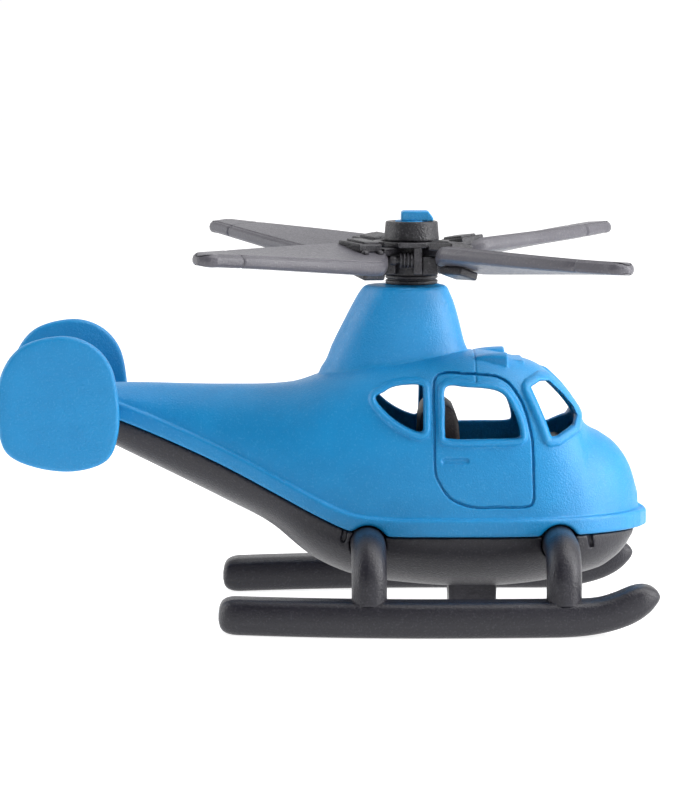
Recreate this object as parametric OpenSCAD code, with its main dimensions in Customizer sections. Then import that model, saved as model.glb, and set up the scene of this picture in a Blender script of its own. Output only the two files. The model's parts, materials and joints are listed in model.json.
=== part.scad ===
// Toy helicopter: a hollow moulded cabin shell over a grey hull, on two skids, with a
// free-spinning four-blade rotor held on a snap post, and two round tail fins.
// +X runs to the nose, +Y to the helicopter's left, +Z up. Millimetres.
// The origin is the centre of the bounding box's base, on the ground under the skids.

/* [Cabin and boom] */
// Half-width of the widest point of the cabin, at the belt line
cabin_half_width = 40; // [38:0.5:42]
// Height of the belt line above the ground at the cabin
belt_z = 41.8; // [41:0.1:42.4]
// Height of the lower edge of the skirt at the cabin
skirt_z = 34.4; // [33.8:0.1:35]
// How far the skirt stands out from the cabin side
skirt_step = 1.8; // [1:0.1:2.2]
// Wall thickness of the shell
shell_wall = 2.6; // [2:0.1:3]
// How far each side leans in between the belt and the roof, as a share of the width
side_lean = 0.12; // [0.08:0.01:0.16]

/* [Hull] */
// Wall thickness of the hull
hull_wall = 2.4; // [2:0.1:2.8]
// How far the hull side sits inside the outer face of the skirt
hull_inset = 1.6; // [1.2:0.1:2]

/* [Landing gear] */
// Distance between the middles of the two skids
skid_spacing = 132; // [126:1:136]
// Outer diameter of the cross tubes
tube_d = 13.4; // [12.6:0.1:13.6]
// Height of the cross tubes' axis inside the body
tube_z = 31.6; // [31:0.1:32]
// Where the rear cross tube stands along the body
rear_tube_x = 15.6; // [14:0.2:17]
// Where the front cross tube stands along the body
front_tube_x = 89.4; // [88:0.2:91]
// Height of the straight part of a skid
skid_h = 14; // [13:0.5:15]
// Width of a skid
skid_w = 17; // [15:0.5:18]

/* [Rotor] */
// Where the rotor axis stands along the body
rotor_x = 33.4; // [32:0.1:35]
// Distance from the rotor axis to a blade tip
rotor_r = 113.8; // [112:0.2:115]
// Radius of the bore that turns on the post
bore_r = 6.5; // [6.3:0.05:6.7]
// Radial clearance between post and bore
post_clearance = 0.05; // [0.02:0.01:0.1]
// Thickness of a blade
blade_t = 6.2; // [5.6:0.1:6.4]
// Width of a blade at its root
root_chord = 27; // [22:0.5:27]
// Width of a blade near its tip
tip_chord = 13; // [12:0.2:15]
// Pitch of a blade at its root, in degrees
root_pitch = 17.5; // [13:1:18]
// Pitch of a blade at its tip, in degrees
tip_pitch = 4; // [3:1:8]

/* [Tail] */
// Distance between the middles of the two fins
fin_spacing = 82; // [78:1:86]
// Thickness of a fin
fin_t = 4; // [3:0.2:4.6]

/* [Hidden] */

BLUE = [0.16, 0.53, 0.8];
GREY = [0.24, 0.24, 0.27];
BLADE_GREY = [0.44, 0.43, 0.46];

// ---- Curves -------------------------------------------------------------------------
// A smooth curve through hand-chosen points [x, value], by cubic pieces whose slopes
// come from the neighbouring points.
function slope(p, i) =
  i == 0 ? (p[1][1] - p[0][1]) / (p[1][0] - p[0][0]) :
  i == len(p) - 1 ? (p[i][1] - p[i - 1][1]) / (p[i][0] - p[i - 1][0]) :
  (p[i + 1][1] - p[i - 1][1]) / (p[i + 1][0] - p[i - 1][0]);
function span_of(p, x, i = 0) = i >= len(p) - 2 || x < p[i + 1][0] ? i : span_of(p, x, i + 1);
function hermite(a, b, ma, mb, h, t) =
  a * (1 + 2 * t) * pow(1 - t, 2) + b * t * t * (3 - 2 * t)
  + h * ma * t * pow(1 - t, 2) - h * mb * t * t * (1 - t);
function curve(p, x) =
  let (i = span_of(p, x), h = p[i + 1][0] - p[i][0], t = (x - p[i][0]) / h)
  hermite(p[i][1], p[i + 1][1], slope(p, i), slope(p, i + 1), h, t);
// A closed smooth curve through 2-D points.
function loop_point(p, i, t) =
  let (n = len(p), a = p[(i + n - 1) % n], b = p[i], c = p[(i + 1) % n], d = p[(i + 2) % n])
  0.5 * (2 * b + t * (c - a) + t * t * (2 * a - 5 * b + 4 * c - d)
  + t * t * t * (3 * b - a - 3 * c + d));
function smooth_loop(p, steps) =
  [for (i = [0 : len(p) - 1], k = [0 : steps - 1]) loop_point(p, i, k / steps)];

// ---- Body lines, as heights and half-widths along X -----------------------------------
TAIL_X = -99;
NOSE_X = 122.8;
ROOF = [[-99, 84], [-92, 89.6], [-80, 90.8], [-40, 90.1], [-14, 90.8], [0, 95], [20, 100.4],
  [45, 103.2], [62, 102.8], [76, 100.2], [84, 97], [92, 89.8], [98, 81.6], [101.6, 74.4],
  [108, 70.6], [114, 66], [119, 58.4], [122, 48.6], [122.8, 43]];
SKIRT_RISE = [[-99, 49], [-79, 42], [-60, 34.4], [-40, 25.6], [-20, 15.6], [-3, 7],
  [9, 2], [22, 0.2], [40, 0], [122.8, 0]];
BELT_W = [[-99, 0.24], [-92, 0.29], [-80, 0.33], [-60, 0.41], [-30, 0.62], [-10, 0.79],
  [10, 0.92], [30, 0.98], [50, 1], [70, 0.99], [85, 0.94], [97, 0.83], [106, 0.69],
  [114, 0.5], [119, 0.31], [122, 0.14], [122.8, 0.04]];
KEEL = [[-97, 73.4], [-82, 65.8], [-62, 56], [-38, 44.2], [-22, 35.8], [-8, 24.4], [2, 18.8],
  [14, 14.8], [30, 12.6], [48, 11.2], [66, 11.2], [86, 13.4], [106, 17.8], [113, 22], [117, 26],
  [120, 31]];

function roof_z(x) = curve(ROOF, x);
function rise(x) = curve(SKIRT_RISE, x);
function belt_w(x) = cabin_half_width * curve(BELT_W, x);
function keel_z(x) = curve(KEEL, x);
// Roundness of the section: full at the tail, squarer at the cabin.
function squareness(x) = curve([[-99, 2.1], [-40, 2.3], [10, 2.9], [60, 3.1], [122.8, 2.6]], x);

// ---- Lofting ------------------------------------------------------------------------
// A solid through rings that all have the same number of points.
module loft(rings) {
  n = len(rings[0]);
  m = len(rings);
  polyhedron(
    points = [for (r = rings) each r],
    faces = [
      [for (k = [0 : n - 1]) k],
      [for (k = [n - 1 : -1 : 0]) (m - 1) * n + k],
      for (i = [0 : m - 2], k = [0 : n - 1])
        each [[i * n + k, (i + 1) * n + k, i * n + (k + 1) % n],
              [i * n + (k + 1) % n, (i + 1) * n + k, (i + 1) * n + (k + 1) % n]]
    ],
    convexity = 8
  );
}
// Stations are closer together towards the nose, where the body turns fastest.
STATION_N = 38;
function station(i, a, b) = let (t = i / STATION_N) a + (b - a) * (1 - pow(1 - t, 1.5));
SIDE_N = 9;
function side_y(x, w, t) = w * (1 - side_lean * t) * pow(1 - pow(t, squareness(x)), 1 / squareness(x));
// One upper ring, inset by a wall thickness, reaching down to z = low.
function upper_side(x, inset, low) =
  let (w = max(belt_w(x) - inset, 0.3), b = belt_z + rise(x), h = max(roof_z(x) - inset - b, 0.4))
  [[w, low], for (i = [0 : SIDE_N - 1]) let (t = sin(90 * i / SIDE_N)) [side_y(x, w, t), b + h * t]];
function mirrored_ring(x, side, top) = concat(
  [for (p = side) [x, p[0], p[1]]],
  [[x, 0, top]],
  [for (i = [len(side) - 1 : -1 : 0]) [x, -side[i][0], side[i][1]]]
);
function upper_ring(x, inset, low) =
  let (b = belt_z + rise(x), h = max(roof_z(x) - inset - b, 0.4))
  mirrored_ring(x, upper_side(x, inset, low), b + h);
// The skirt reaches further forward than the nose above it.
NOSE_PUSH = 3;
function pushed(x) = x + NOSE_PUSH * pow(max(0, (x - 90) / (NOSE_X - 90)), 2);
function skirt_ring(x, low, high) =
  let (w = belt_w(x) + skirt_step, px = pushed(x), b = min(0.8, w / 4))
  [[px, w - b, low], [px, w, low + b], [px, w, high - b], [px, w - b, high],
   [px, b - w, high], [px, -w, high - b], [px, -w, low + b], [px, b - w, low]];
function hull_side(x, inset) =
  let (w = max(belt_w(x) + skirt_step - hull_inset - inset, 0.3), top = skirt_z + rise(x),
       h = max(top - keel_z(x) - inset, 0.4))
  [for (i = [0 : SIDE_N - 1]) let (t = sin(90 * i / SIDE_N))
    [w * pow(1 - pow(t, 2.3), 1 / 2.3), top - h * t]];
function hull_ring(x, inset, lift) =
  let (side = hull_side(x, inset), top = skirt_z + rise(x), h = max(top - keel_z(x) - inset, 0.4))
  concat(
    [[x, side[0][0], top + lift], [x, -side[0][0], top + lift]],
    [for (i = [1 : SIDE_N - 1]) [x, -side[i][0], side[i][1]]],
    [[x, 0, top - h]],
    [for (i = [SIDE_N - 1 : -1 : 1]) [x, side[i][0], side[i][1]]]
  );

// ---- Windows, drawn in the side view ----------------------------------------------------
DOOR_WINDOW = [[45.4, 73.4], [45.4, 91.4], [62.5, 90.5], [67, 89], [69.4, 86.5], [73, 79.2], [74.2, 74.4],
  [73.6, 72.6], [71, 72], [47, 72]];
REAR_WINDOW = [[18.8, 87], [24.2, 90.6], [30, 91.9], [36.6, 92], [37, 75.6], [35.6, 74.4],
  [32, 75.8], [26, 79.1], [21.6, 83]];
WINDSCREEN = [[79, 91], [82.6, 92.8], [85.8, 92.6], [90.6, 88.2], [95, 83], [96.6, 79.6], [95.4, 76.4],
  [88.6, 72.6], [86.6, 72.4], [84.4, 78.6], [81.8, 84.8]];
PILLAR_HALF = 12;
module side_cut(outline) {
  translate([0, 60, 0]) rotate([90, 0, 0]) linear_extrude(120) polygon(outline);
}
module windscreen_cut() {
  for (s = [-1, 1])
    translate([0, s > 0 ? 60 : -PILLAR_HALF, 0]) rotate([90, 0, 0])
      linear_extrude(60 - PILLAR_HALF) polygon(WINDSCREEN);
}

// ---- Mast fairing ---------------------------------------------------------------------
MAST_TOP_Z = 129;
MAST_TOP_X = 31.4;
MAST_TOP_R = 15.4;
MAST_FOOT_X = 27.4;
MAST_FOOT_RX = 28.6;
MAST_FOOT_RY = 16.8;
MAST_FOOT_Z = 92;
module mast(inset) {
  hull() {
    translate([MAST_TOP_X, 0, MAST_TOP_Z - inset - 1])
      cylinder(r = MAST_TOP_R - inset, h = 1, $fn = 40);
    translate([MAST_FOOT_X, 0, MAST_FOOT_Z])
      scale([(MAST_FOOT_RX - inset) / MAST_FOOT_RY, (MAST_FOOT_RY - inset) / MAST_FOOT_RY, 1])
        cylinder(r = MAST_FOOT_RY, h = 1, $fn = 40);
  }
}

// ---- Shell and hull -------------------------------------------------------------------
SHELL_X = [for (i = [0 : STATION_N]) station(i, TAIL_X, NOSE_X)];
module shell_outer() {
  loft([for (x = SHELL_X) upper_ring(x, 0, belt_z + rise(x) - 2)]);
  loft([for (x = SHELL_X) skirt_ring(x, skirt_z + rise(x), belt_z + rise(x) - 0.4)]);
  mast(0);
}
module shell_inner() {
  loft([for (x = SHELL_X) if (x > TAIL_X + 3 && x < NOSE_X - 2)
    upper_ring(x, shell_wall, skirt_z + rise(x) - 6)]);
  difference() {
    mast(shell_wall);
    translate([-50, -50, 80]) cube([200, 100, 12]);
  }
}
module arch_cut(x, r, z) {
  translate([x, 60, z]) rotate([90, 0, 0]) cylinder(r = r, h = 120, $fn = 32);
}
module body_shell() {
  color(BLUE) resize([0, 0, 0]) difference() {
    shell_outer();
    shell_inner();
    side_cut(DOOR_WINDOW);
    side_cut(REAR_WINDOW);
    windscreen_cut();
    for (x = [rear_tube_x, front_tube_x]) arch_cut(x, tube_d / 2 + 1, tube_z - 0.4);
    translate([rotor_x, 0, MAST_TOP_Z - 6]) cylinder(r = bore_r, h = 10, $fn = 48);
  }
}

FOOT_X = 57.2;
FOOT_L = 18.4;
FOOT_W = 20;
FOOT_LOW_Z = 2;
FOOT_TOP_Z = 16;
HULL_GAP = 0.2;
HULL_X = [for (i = [0 : STATION_N]) station(i, -97, 120)];
module belly_hull() {
  color(GREY) resize([0, 0, 0]) difference() {
    loft([for (x = HULL_X) hull_ring(x, 0, -HULL_GAP)]);
    loft([for (x = HULL_X) if (x > -80 && x < 115) hull_ring(x, hull_wall, 2)]);
    for (x = [rear_tube_x, front_tube_x]) arch_cut(x, tube_d / 2 + 0.15, tube_z);
    translate([FOOT_X - FOOT_L / 2, -FOOT_W / 2, 0]) cube([FOOT_L, FOOT_W, FOOT_TOP_Z]);
  }
}
module belly_foot() {
  color(GREY) translate([FOOT_X, 0, 0]) {
    translate([-FOOT_L / 2, -FOOT_W / 2, FOOT_LOW_Z])
      cube([FOOT_L, FOOT_W, FOOT_TOP_Z - FOOT_LOW_Z]);
    translate([-FOOT_L / 2 - 2, -FOOT_W / 2 - 2, FOOT_TOP_Z])
      cube([FOOT_L + 4, FOOT_W + 4, 2]);
  }
}

// ---- Cabin ----------------------------------------------------------------------------
FLOOR_Z = 40.4;
FLOOR_T = 2;
FLOOR_BACK_X = 2;
FLOOR_FRONT_X = 108;
module cabin_floor() {
  xs = [for (i = [0 : 18]) FLOOR_BACK_X + (FLOOR_FRONT_X - FLOOR_BACK_X) * i / 18];
  color(GREY) translate([0, 0, FLOOR_Z]) linear_extrude(FLOOR_T)
    polygon(concat(
      [for (x = xs) [x, belt_w(x) - shell_wall - 0.4]],
      [for (i = [18 : -1 : 0]) [xs[i], -belt_w(xs[i]) + shell_wall + 0.4]]
    ));
}
SEAT_W = 40;
module prism_y(width) {
  translate([0, width / 2, 0]) rotate([90, 0, 0]) linear_extrude(width) children();
}
module pilot_seat() {
  z = FLOOR_Z + FLOOR_T;
  color(GREY) prism_y(SEAT_W) offset(r = 2, $fn = 24) offset(delta = -2)
    polygon([[35, z], [36.4, 78], [39, 84], [47, 84], [51, 78], [53.4, 58], [68, 56], [70, z]]);
}
PANEL_W = 44;
module instrument_panel() {
  z = FLOOR_Z + FLOOR_T;
  color(GREY) prism_y(PANEL_W) offset(r = 1.5, $fn = 24) offset(delta = -1.5)
    polygon([[84, z], [81, 62], [82, 70], [92, 71.4], [96.5, 66], [100, 59], [100, z]]);
}

// ---- Landing gear -----------------------------------------------------------------------
BEND_R = 12;
LEG_Y = skid_spacing / 2;
// An inverted U: a straight run across the body, two quarter bends and two legs.
module cross_tube(x) {
  r = tube_d / 2;
  run = LEG_Y - BEND_R;
  color(GREY) translate([x, 0, tube_z]) {
    rotate([90, 0, 0]) cylinder(r = r, h = 2 * run, center = true, $fn = 48);
    for (s = [0, 180]) rotate([0, 0, s]) translate([0, run, -BEND_R]) {
      rotate([0, 90, 0]) rotate([0, 0, 90]) rotate_extrude(angle = 90, $fn = 48)
        translate([BEND_R, 0]) circle(r = r, $fn = 32);
      translate([0, BEND_R, skid_h - tube_z + BEND_R])
        cylinder(r = r, h = tube_z - BEND_R - skid_h, $fn = 48);
    }
  }
}
REAR_BOW = 11;
FRONT_BOW = 4;
// Sole and top of the side view: a round heel, a long straight part, and a tip that curls up.
SKID_SOLE = [[-41.6, 5], [-41, 2.6], [-39, 0.8], [-36, 0.1], [-32, 0], [86, 0], [97, 0.5], [106, 1.9],
  [113, 3.9], [118, 6.2], [122, 9], [124.6, 11.8], [125.7, 13.5], [126, 14.6]];
SKID_TOP = [[-41.6, 8], [-41.2, 10.4], [-39.8, 12.6], [-37, 13.8], [-33, 14], [96, 14], [103, 14.5], [109, 16.2],
  [115, 18.6], [119, 19.4], [122.2, 18.9], [124.5, 17.5], [125.7, 16], [126, 15.1]];
SKID_HALF = [[-41.6, 0.52], [-41, 0.72], [-39.6, 0.88], [-37, 0.98], [-34, 1], [112, 1], [118, 0.93],
  [122, 0.76], [125, 0.5], [126, 0.3]];
function bow(x) = (x < 42 ? REAR_BOW : FRONT_BOW) * pow((x - 42) / 84, 2);
SKID_X = [-41.6, -41.2, -40.4, -39, -37, -34.6, -32, -16, 0, 21, 42, 64, 86, 92, 97, 102, 106, 110, 114,
  118, 121, 123.4, 125, 125.8, 126];
SKID_SIDE = [[0.46, 0], [0.76, 0.09], [0.94, 0.26], [1, 0.54], [0.94, 0.78], [0.74, 0.94], [0.4, 1]];
function skid_ring(x, s) =
  let (w = skid_w / 2 * curve(SKID_HALF, x), y0 = s * (LEG_Y - bow(x)), low = curve(SKID_SOLE, x),
       h = (curve(SKID_TOP, x) - low) * skid_h / 14)
  concat(
    [for (p = SKID_SIDE) [x, y0 + w * p[0], low + h * p[1]]],
    [for (i = [len(SKID_SIDE) - 1 : -1 : 0]) [x, y0 - w * SKID_SIDE[i][0], low + h * SKID_SIDE[i][1]]]
  );
module skid(s) {
  color(GREY) loft([for (x = SKID_X) skid_ring(x, s)]);
}

// ---- Tail -------------------------------------------------------------------------------
FIN = [[-102, 112.4], [-90.4, 109.4], [-82.8, 101], [-79.9, 88], [-80, 75], [-84.4, 64.6],
  [-97, 60.4], [-112, 62], [-123, 67.8], [-126, 80], [-125, 96.6], [-117, 108.2]];
module tail_fin(s) {
  color(BLUE) translate([0, s * fin_spacing / 2 + fin_t / 2, 0]) rotate([90, 0, 0])
    linear_extrude(fin_t) polygon(smooth_loop(FIN, 4));
}
TAILPLANE = [[-117, 79], [-115, 82.4], [-100, 84.4], [-86, 84], [-81.4, 81], [-83, 78.6], [-100, 77]];
// The tailplane wraps round the end of the boom and carries the fins.
module tailplane() {
  xs = [for (x = [TAIL_X : 3 : -72]) x];
  color(BLUE) difference() {
    prism_y(fin_spacing - fin_t) polygon(TAILPLANE);
    translate([0, 0, 60]) linear_extrude(40) polygon(concat(
      [for (x = xs) [x, belt_w(x) + skirt_step + 0.1]],
      [for (i = [len(xs) - 1 : -1 : 0]) [xs[i], -belt_w(xs[i]) - skirt_step - 0.1]]
    ));
  }
}

// ---- Rotor ------------------------------------------------------------------------------
POST_LOW_Z = 118;
POST_SHOULDER_Z = MAST_TOP_Z - shell_wall;
COLLAR_Z = 129.5;
HUB_Z = 133;
CAP_Z = 146.2;
CAP_TOP_Z = 154;
HEAD_Z = 154.3;
HEAD_TOP_Z = 158;
// The snap post: a shaft with a shoulder under the mast top, flattened on one side near
// its head so that the hook on the other side can spring in through the bore.
module rotor_post() {
  color(BLUE) translate([rotor_x, 0, 0]) {
    difference() {
      union() {
        translate([0, 0, POST_LOW_Z]) cylinder(r = bore_r - post_clearance, h = HEAD_Z - POST_LOW_Z, $fn = 64);
        translate([0, 0, POST_SHOULDER_Z - 3]) cylinder(r = 10, h = 3, $fn = 64);
      }
      translate([-20, -10, CAP_Z - 1]) cube([15.8, 20, 20]);
    }
    translate([0, 5.2, 0]) rotate([90, 0, 0]) linear_extrude(10.4)
      polygon([[-4.2, HEAD_Z], [8.4, HEAD_Z], [8.4, HEAD_Z + 1], [6.4, HEAD_TOP_Z], [-3.6, HEAD_TOP_Z],
        [-4.2, HEAD_TOP_Z - 0.8]]);
  }
}
module ring(r_low, r_high, z, h) {
  translate([rotor_x, 0, z]) difference() {
    cylinder(r1 = r_low, r2 = r_high, h = h, $fn = 64);
    translate([0, 0, -1]) cylinder(r = bore_r, h = h + 2, $fn = 64);
  }
}
module rotor_collar() {
  color(GREY) ring(10.3, 10.3, COLLAR_Z, HUB_Z - COLLAR_Z);
}
HUB_R = 9.4;
RIB_R = 15.2;
HUB_BLOCK_TOP_Z = 140.6;
// The hub turns on the post. It has four upright ribs, each with a block beside it.
module rotor_hub() {
  color(GREY) {
    ring(HUB_R, HUB_R, HUB_Z, CAP_Z - HUB_Z);
    translate([rotor_x, 0, 0]) for (i = [0 : 3]) rotate([0, 0, 90 * i]) {
      translate([0, 0.4, 134]) difference() {
        cube([RIB_R, 3.2, FLANGE_Z - 134]);
        translate([0, 0, -1]) cube([HUB_R - 1, 4, 20]);
      }
      translate([5.4, 3.6, HUB_Z + 0.4]) difference() {
        cube([6.6, 6.4, HUB_BLOCK_TOP_Z - HUB_Z - 0.4]);
        translate([-5.4, -3.6, -1]) cylinder(r = HUB_R - 0.6, h = 10, $fn = 64);
      }
    }
  }
}
module rotor_cap() {
  color(GREY) ring(10.7, 10.1, CAP_Z, CAP_TOP_Z - CAP_Z);
}
// Axes of the blades, a quarter turn apart and near 45 degrees to the body.
BLADE_A = [for (i = [0 : 3]) 43.7 + 90 * i];
BLADE_Z = 139.8;
// The soft moulded blades do not sit quite level: each tip stands this far above its root.
BLADE_RISE = [7.3, 7.8, 4, 0.7];
BLADE_ROOT_R = 17.5;
ROOT_NOSE = 8;
SHOULDER_R = 29;
MID_R = 68;
MID_CHORD = 24;
TIP_R = tip_chord / 2;
function along(r) = (r - BLADE_ROOT_R) / (rotor_r - TIP_R - BLADE_ROOT_R);
function pitch_at(r) = root_pitch + (tip_pitch - root_pitch) * along(r);
module at_blade(i, z) {
  translate([rotor_x, 0, z]) rotate([0, 0, BLADE_A[i]]) children();
}
// Puts things at a distance from the axis, level with the blade there and pitched like it.
module on_blade(i, r) {
  at_blade(i, BLADE_Z) translate([r, 0, BLADE_RISE[i] * along(r)]) rotate([-pitch_at(r), 0, 0]) children();
}
module blade_station(i, r, chord) {
  on_blade(i, r) translate([0, -chord / 2, -blade_t / 2]) cube([1, chord, blade_t]);
}
// Leading edges are on the clockwise side, seen from above, and stand higher.
module blade(i) {
  color(BLADE_GREY) hull() {
    blade_station(i, BLADE_ROOT_R, ROOT_NOSE);
    blade_station(i, SHOULDER_R, root_chord);
    blade_station(i, MID_R, MID_CHORD);
    on_blade(i, rotor_r - TIP_R) cylinder(r = TIP_R, h = blade_t * 0.8, center = true, $fn = 32);
  }
}
// A flat four-armed plate round the hub, which carries the blade roots between its fingers.
FLANGE_Z = 144.2;
FLANGE_T = 2;
module rotor_flange() {
  color(GREY) translate([rotor_x, 0, FLANGE_Z]) difference() {
    linear_extrude(FLANGE_T) {
      circle(r = 12.4, $fn = 48);
      for (a = [0 : 3]) rotate(90 * a) translate([0, -5.5]) square([15, 11]);
    }
    translate([0, 0, -1]) cylinder(r = HUB_R, h = FLANGE_T + 2, $fn = 64);
  }
}
// Short ribbed cylinders between the blade roots, one in each quarter, lying across the hub.
SPOOL_Z = 139.2;
SPOOL_R = 3;
SPOOL_RINGS = 4;
module lying_cylinder(r, from, to) {
  translate([0, from, 0]) rotate([-90, 0, 0]) cylinder(r = r, h = to - from, $fn = 32);
}
module damper_spools() {
  color(GREY) translate([rotor_x, 0, SPOOL_Z]) for (i = [0 : 3]) rotate([0, 0, 90 * i])
    translate([HUB_R + SPOOL_R + 0.1, 0, 0]) {
      lying_cylinder(1.8, -8.8, -6.2);
      lying_cylinder(1.2, -6.2, -5);
      lying_cylinder(SPOOL_R - 0.6, -5, 0.3);
      for (k = [0 : SPOOL_RINGS - 1]) lying_cylinder(SPOOL_R, -5 + 1.4 * k, -4.3 + 1.4 * k);
    }
}
// The holder of one blade: a pad on top of its root, a block below it, and a short bar from
// the hub, between the hub's corner block and the flange.
GRIP_R = 19.5;
GRIP_L = 11.5;
GRIP_GAP = 0.7;
BAR_LOW_Z = HUB_BLOCK_TOP_Z + 0.5;
module blade_grip(i) {
  lean = atan(BLADE_RISE[i] / (rotor_r - TIP_R - BLADE_ROOT_R));
  color(GREY) on_blade(i, GRIP_R) rotate([0, -lean, 0]) {
    translate([0, -10, blade_t / 2 + GRIP_GAP]) cube([GRIP_L, 12, 1.6]);
    translate([0, -3, -blade_t / 2 - GRIP_GAP - 3]) cube([GRIP_L, 10, 3]);
  }
  color(GREY) at_blade(i, BAR_LOW_Z) difference() {
    translate([HUB_R - 1, -3, 0]) cube([BLADE_ROOT_R - HUB_R + 1, 6, FLANGE_Z - BAR_LOW_Z]);
    translate([0, 0, -1]) cylinder(r = HUB_R, h = 8, $fn = 64);
  }
}

body_shell();
belly_hull();
belly_foot();
cabin_floor();
pilot_seat();
instrument_panel();
cross_tube(front_tube_x);  // front_cross_tube
cross_tube(rear_tube_x);  // rear_cross_tube
skid(-1);  // right_skid
skid(1);  // left_skid
tailplane();
tail_fin(-1);  // right_tail_fin
tail_fin(1);  // left_tail_fin
rotor_post();
rotor_collar();
rotor_hub();
rotor_cap();
rotor_flange();
damper_spools();
blade(0);  // blade_1
blade(1);  // blade_2
blade(2);  // blade_3
blade(3);  // blade_4
blade_grip(0);  // blade_grip_1
blade_grip(1);  // blade_grip_2
blade_grip(2);  // blade_grip_3
blade_grip(3);  // blade_grip_4
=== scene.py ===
"""Looks of the toy helicopter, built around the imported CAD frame.

Shapes are in millimetres in the frame's axes (+X nose, +Y helicopter's left, +Z up) and are
scaled to metres when a mesh is made. The hollow shell, the hull and the tail are distance
fields: arrays of signed distances, blended, cut and grooved, then turned into meshes. The rest
are lofted or turned meshes.
"""

import json
import math

import bmesh
import bpy
import numpy as np
import openvdb
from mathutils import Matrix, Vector


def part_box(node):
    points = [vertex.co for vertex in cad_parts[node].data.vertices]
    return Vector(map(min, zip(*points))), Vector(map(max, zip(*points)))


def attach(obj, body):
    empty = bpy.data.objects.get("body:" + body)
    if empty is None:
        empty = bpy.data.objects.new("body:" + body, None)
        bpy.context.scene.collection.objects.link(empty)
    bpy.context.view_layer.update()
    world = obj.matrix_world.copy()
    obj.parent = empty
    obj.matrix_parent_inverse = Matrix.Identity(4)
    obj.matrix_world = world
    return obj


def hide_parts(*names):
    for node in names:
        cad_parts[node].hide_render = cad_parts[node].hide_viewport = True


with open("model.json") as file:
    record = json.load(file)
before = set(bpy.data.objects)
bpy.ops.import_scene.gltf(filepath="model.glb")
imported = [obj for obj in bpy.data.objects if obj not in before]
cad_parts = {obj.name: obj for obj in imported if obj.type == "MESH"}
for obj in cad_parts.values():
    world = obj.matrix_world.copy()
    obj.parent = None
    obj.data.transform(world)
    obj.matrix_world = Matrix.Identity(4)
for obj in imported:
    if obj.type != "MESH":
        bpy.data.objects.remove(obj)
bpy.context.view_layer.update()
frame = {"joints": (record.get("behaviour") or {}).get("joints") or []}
bpy.ops.object.select_all(action="DESELECT")
MM = 0.001


def box_mm(node):
    """A CAD node's lowest and highest corners in millimetres."""
    low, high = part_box(node)
    return np.array(low) / MM, np.array(high) / MM


# ---- Places read from the frame -----------------------------------------------------------
ROTOR_X = frame["joints"][0]["pos_m"][0] / MM
FIN_LOW, FIN_HIGH = box_mm("left_tail_fin")
SKID_LOW, SKID_HIGH = box_mm("left_skid")
REAR_TUBE_LOW, REAR_TUBE_HIGH = box_mm("rear_cross_tube")
FRONT_TUBE_LOW, FRONT_TUBE_HIGH = box_mm("front_cross_tube")
TUBE_R = (REAR_TUBE_HIGH[0] - REAR_TUBE_LOW[0]) / 2
TUBE_Z = REAR_TUBE_HIGH[2] - TUBE_R
REAR_TUBE_X = (REAR_TUBE_HIGH[0] + REAR_TUBE_LOW[0]) / 2
FRONT_TUBE_X = (FRONT_TUBE_HIGH[0] + FRONT_TUBE_LOW[0]) / 2
LEG_Y = REAR_TUBE_HIGH[1] - TUBE_R

# ---- Body lines, the same curves as the CAD shell's ------------------------------------------
BELT_Z = 41.8
SKIRT_Z = 34.4
SKIRT_STEP = 1.8
CABIN_HALF = 40
WALL = 2.6
LEAN = 0.12
TAIL_X = -99
NOSE_X = 122.8
ROOF = [(-99, 84), (-92, 89.6), (-80, 90.8), (-40, 90.1), (-14, 90.8), (0, 95), (20, 100.4),
        (45, 103.2), (62, 102.8), (76, 100.2), (84, 97), (92, 89.8), (98, 81.6), (101.6, 74.4),
        (108, 70.6), (114, 66), (119, 58.4), (122, 48.6), (NOSE_X, 43)]
SKIRT_RISE = [(-99, 49), (-79, 42), (-60, 34.4), (-40, 25.6), (-20, 15.6), (-3, 7), (9, 2),
              (22, 0.2), (40, 0), (NOSE_X, 0)]
BELT_W = [(-99, 0.24), (-92, 0.29), (-80, 0.33), (-60, 0.41), (-30, 0.62), (-10, 0.79),
          (10, 0.92), (30, 0.98), (50, 1), (70, 0.99), (85, 0.94), (97, 0.83), (106, 0.69),
          (114, 0.5), (119, 0.31), (122, 0.14), (NOSE_X, 0.04)]
KEEL = [(-97, 73.4), (-82, 65.8), (-62, 56), (-38, 44.2), (-22, 35.8), (-8, 24.4), (2, 18.8),
        (14, 14.8), (30, 12.6), (48, 11.2), (66, 11.2), (86, 13.4), (106, 17.8), (113, 22), (117, 26),
        (120, 31)]
SQUARENESS = [(TAIL_X, 2.1), (-40, 2.3), (10, 2.9), (60, 3.1), (NOSE_X, 2.6)]

DOOR = [(45.2, 96.4), (41.4, 93), (41.3, 77), (41.4, 61.2), (43, 55.6), (47.4, 49.5), (55.3, 46.2),
        (66, 46), (76.6, 46.1), (79.3, 48.8), (79.3, 57.8), (79, 70), (78.1, 75.7), (76.3, 82.6),
        (74, 87.6), (70.4, 92.4), (66.3, 94.8), (62.2, 95.6), (54, 96.2)]
DOOR_WINDOW = [(45.4, 74.4), (45.4, 83), (46, 91.2), (54, 91.2), (62.5, 90.5), (67.2, 89), (69.8, 86.1),
               (72.8, 80), (74.2, 74.4), (72.8, 72.3), (62, 72), (47, 72.1)]
REAR_WINDOW = [(18.8, 87), (22, 89.2), (25, 90.9), (30, 91.9), (36.2, 91.8), (37, 89), (37, 79),
               (36.5, 74.9), (33, 75.4), (27.6, 78.1), (22.4, 82.2)]
WINDSCREEN = [(79, 91), (82.6, 92.8), (85.8, 92.6), (90.6, 88.2), (95, 83), (96.6, 79.6),
              (95.4, 76.4), (88.6, 72.6), (86.6, 72.4), (84.4, 78.6), (81.8, 84.8)]
PILLAR_HALF = 12


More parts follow.
